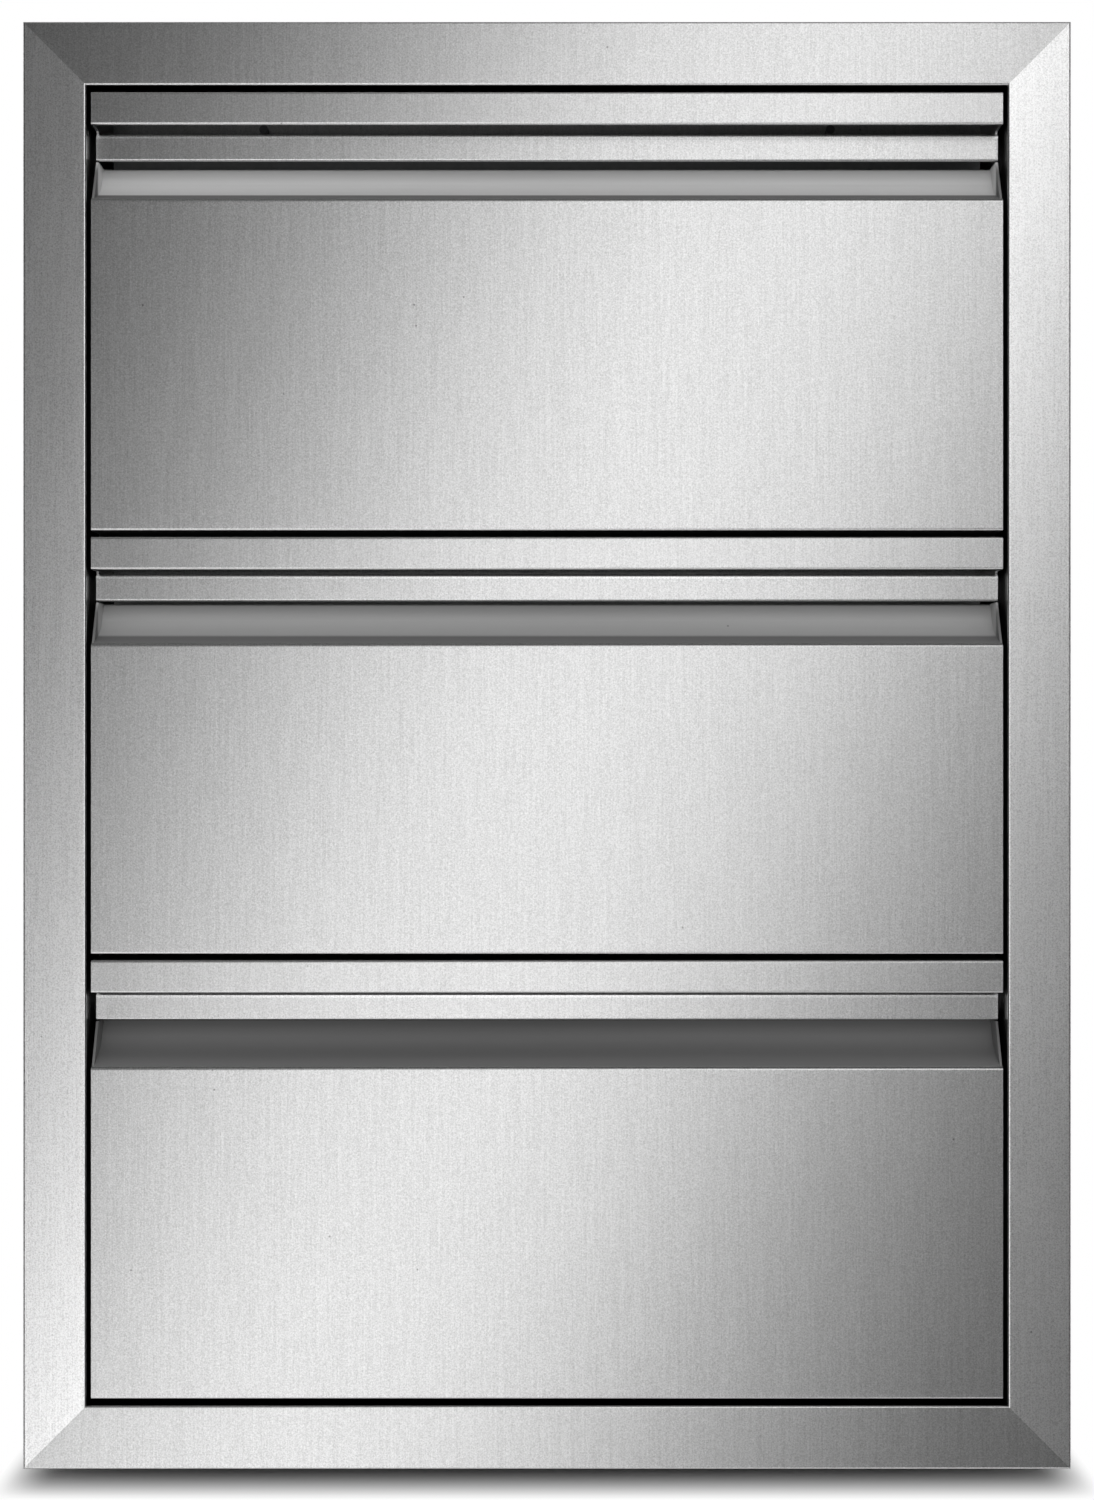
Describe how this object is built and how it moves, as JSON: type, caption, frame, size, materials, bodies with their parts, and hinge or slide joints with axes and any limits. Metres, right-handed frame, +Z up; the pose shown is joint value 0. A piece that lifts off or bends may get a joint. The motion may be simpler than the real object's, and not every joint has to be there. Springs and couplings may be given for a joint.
{
  "type": "outdoor kitchen drawer unit",
  "caption": "Built-in stack of stainless drawers for an outdoor kitchen island, with a mitred face frame, folded finger grips and full-extension ball slides.",
  "frame": {"origin": "middle of the housing's underside, in the plane of the island's face, where the housing rests on the cut-out's sill", "axes": "+X to the right seen from the front, +Y back into the island, +Z up; the drawers open towards -Y"},
  "size_m": [0.457, 0.52, 0.631],
  "materials": {
    "face_steel": "fine vertical brush",
    "sheet_steel": "mill finish sheet with a faint brush",
    "slide_steel": "bright zinc plate",
    "ball_steel": "polished and lightly greased",
    "rivet_steel": "bright",
    "rubber": "matte black"
  },
  "bodies": {
    "cabinet": {"bottom_slide_outer_left": "slide_steel", "bottom_slide_outer_right": "slide_steel", "frame_rail_bottom": "face_steel", "frame_rail_top": "face_steel", "frame_stile_left": "face_steel", "frame_stile_right": "face_steel", "housing_back": "sheet_steel", "housing_floor": "sheet_steel", "housing_rivets": "rivet_steel", "housing_roof": "sheet_steel", "housing_side_left": "sheet_steel", "housing_side_right": "sheet_steel", "middle_slide_outer_left": "slide_steel", "middle_slide_outer_right": "slide_steel", "slide_buffers": "rubber", "slide_rivets": "rivet_steel", "top_slide_outer_left": "slide_steel", "top_slide_outer_right": "slide_steel"},
    "bottom_drawer": {"bottom_box_back": "sheet_steel", "bottom_box_floor": "sheet_steel", "bottom_box_side_left": "sheet_steel", "bottom_box_side_right": "sheet_steel", "bottom_drawer_fasteners": "rivet_steel", "bottom_front_panel": "face_steel", "bottom_grip_rail": "face_steel", "bottom_inner_front": "sheet_steel", "bottom_slide_inner_left": "slide_steel", "bottom_slide_inner_right": "slide_steel"},
    "bottom_inner_cages": {"bottom_inner_ball_cages": "ball_steel"},
    "bottom_outer_cages": {"bottom_outer_ball_cages": "ball_steel"},
    "bottom_slide_middle_left": {"bottom_slide_middle_left": "slide_steel"},
    "bottom_slide_middle_right": {"bottom_slide_middle_right": "slide_steel"},
    "middle_drawer": {"middle_box_back": "sheet_steel", "middle_box_floor": "sheet_steel", "middle_box_side_left": "sheet_steel", "middle_box_side_right": "sheet_steel", "middle_drawer_fasteners": "rivet_steel", "middle_front_panel": "face_steel", "middle_grip_rail": "face_steel", "middle_inner_front": "sheet_steel", "middle_slide_inner_left": "slide_steel", "middle_slide_inner_right": "slide_steel"},
    "middle_inner_cages": {"middle_inner_ball_cages": "ball_steel"},
    "middle_outer_cages": {"middle_outer_ball_cages": "ball_steel"},
    "middle_slide_middle_left": {"middle_slide_middle_left": "slide_steel"},
    "middle_slide_middle_right": {"middle_slide_middle_right": "slide_steel"},
    "top_drawer": {"top_box_back": "sheet_steel", "top_box_floor": "sheet_steel", "top_box_side_left": "sheet_steel", "top_box_side_right": "sheet_steel", "top_drawer_fasteners": "rivet_steel", "top_front_panel": "face_steel", "top_grip_rail": "face_steel", "top_inner_front": "sheet_steel", "top_slide_inner_left": "slide_steel", "top_slide_inner_right": "slide_steel"},
    "top_inner_cages": {"top_inner_ball_cages": "ball_steel"},
    "top_outer_cages": {"top_outer_ball_cages": "ball_steel"},
    "top_slide_middle_left": {"top_slide_middle_left": "slide_steel"},
    "top_slide_middle_right": {"top_slide_middle_right": "slide_steel"}
  },
  "joints": [
    {"name": "bottom_drawer_slide", "type": "slide", "parent": "cabinet", "child": "bottom_drawer", "axis": [0, -1, 0], "range_m": [0, 0.44]},
    {"name": "bottom_slide_middle_left_travel", "type": "slide", "parent": "cabinet", "child": "bottom_slide_middle_left", "axis": [0, -1, 0], "range_m": [0, 0.22]},
    {"name": "bottom_slide_middle_right_travel", "type": "slide", "parent": "cabinet", "child": "bottom_slide_middle_right", "axis": [0, -1, 0], "range_m": [0, 0.22]},
    {"name": "bottom_outer_cages_travel", "type": "slide", "parent": "cabinet", "child": "bottom_outer_cages", "axis": [0, -1, 0], "range_m": [0, 0.11]},
    {"name": "bottom_inner_cages_travel", "type": "slide", "parent": "cabinet", "child": "bottom_inner_cages", "axis": [0, -1, 0], "range_m": [0, 0.33]},
    {"name": "middle_drawer_slide", "type": "slide", "parent": "cabinet", "child": "middle_drawer", "axis": [0, -1, 0], "range_m": [0, 0.44]},
    {"name": "middle_slide_middle_left_travel", "type": "slide", "parent": "cabinet", "child": "middle_slide_middle_left", "axis": [0, -1, 0], "range_m": [0, 0.22]},
    {"name": "middle_slide_middle_right_travel", "type": "slide", "parent": "cabinet", "child": "middle_slide_middle_right", "axis": [0, -1, 0], "range_m": [0, 0.22]},
    {"name": "middle_outer_cages_travel", "type": "slide", "parent": "cabinet", "child": "middle_outer_cages", "axis": [0, -1, 0], "range_m": [0, 0.11]},
    {"name": "middle_inner_cages_travel", "type": "slide", "parent": "cabinet", "child": "middle_inner_cages", "axis": [0, -1, 0], "range_m": [0, 0.33]},
    {"name": "top_drawer_slide", "type": "slide", "parent": "cabinet", "child": "top_drawer", "axis": [0, -1, 0], "range_m": [0, 0.44]},
    {"name": "top_slide_middle_left_travel", "type": "slide", "parent": "cabinet", "child": "top_slide_middle_left", "axis": [0, -1, 0], "range_m": [0, 0.22]},
    {"name": "top_slide_middle_right_travel", "type": "slide", "parent": "cabinet", "child": "top_slide_middle_right", "axis": [0, -1, 0], "range_m": [0, 0.22]},
    {"name": "top_outer_cages_travel", "type": "slide", "parent": "cabinet", "child": "top_outer_cages", "axis": [0, -1, 0], "range_m": [0, 0.11]},
    {"name": "top_inner_cages_travel", "type": "slide", "parent": "cabinet", "child": "top_inner_cages", "axis": [0, -1, 0], "range_m": [0, 0.33]}
  ],
  "couplings": [
    {"joint": "bottom_slide_middle_left_travel", "follows": "bottom_drawer_slide", "ratio": 0.5},
    {"joint": "bottom_slide_middle_right_travel", "follows": "bottom_drawer_slide", "ratio": 0.5},
    {"joint": "bottom_outer_cages_travel", "follows": "bottom_drawer_slide", "ratio": 0.25},
    {"joint": "bottom_inner_cages_travel", "follows": "bottom_drawer_slide", "ratio": 0.75},
    {"joint": "middle_slide_middle_left_travel", "follows": "middle_drawer_slide", "ratio": 0.5},
    {"joint": "middle_slide_middle_right_travel", "follows": "middle_drawer_slide", "ratio": 0.5},
    {"joint": "middle_outer_cages_travel", "follows": "middle_drawer_slide", "ratio": 0.25},
    {"joint": "middle_inner_cages_travel", "follows": "middle_drawer_slide", "ratio": 0.75},
    {"joint": "top_slide_middle_left_travel", "follows": "top_drawer_slide", "ratio": 0.5},
    {"joint": "top_slide_middle_right_travel", "follows": "top_drawer_slide", "ratio": 0.5},
    {"joint": "top_outer_cages_travel", "follows": "top_drawer_slide", "ratio": 0.25},
    {"joint": "top_inner_cages_travel", "follows": "top_drawer_slide", "ratio": 0.75}
  ]
}
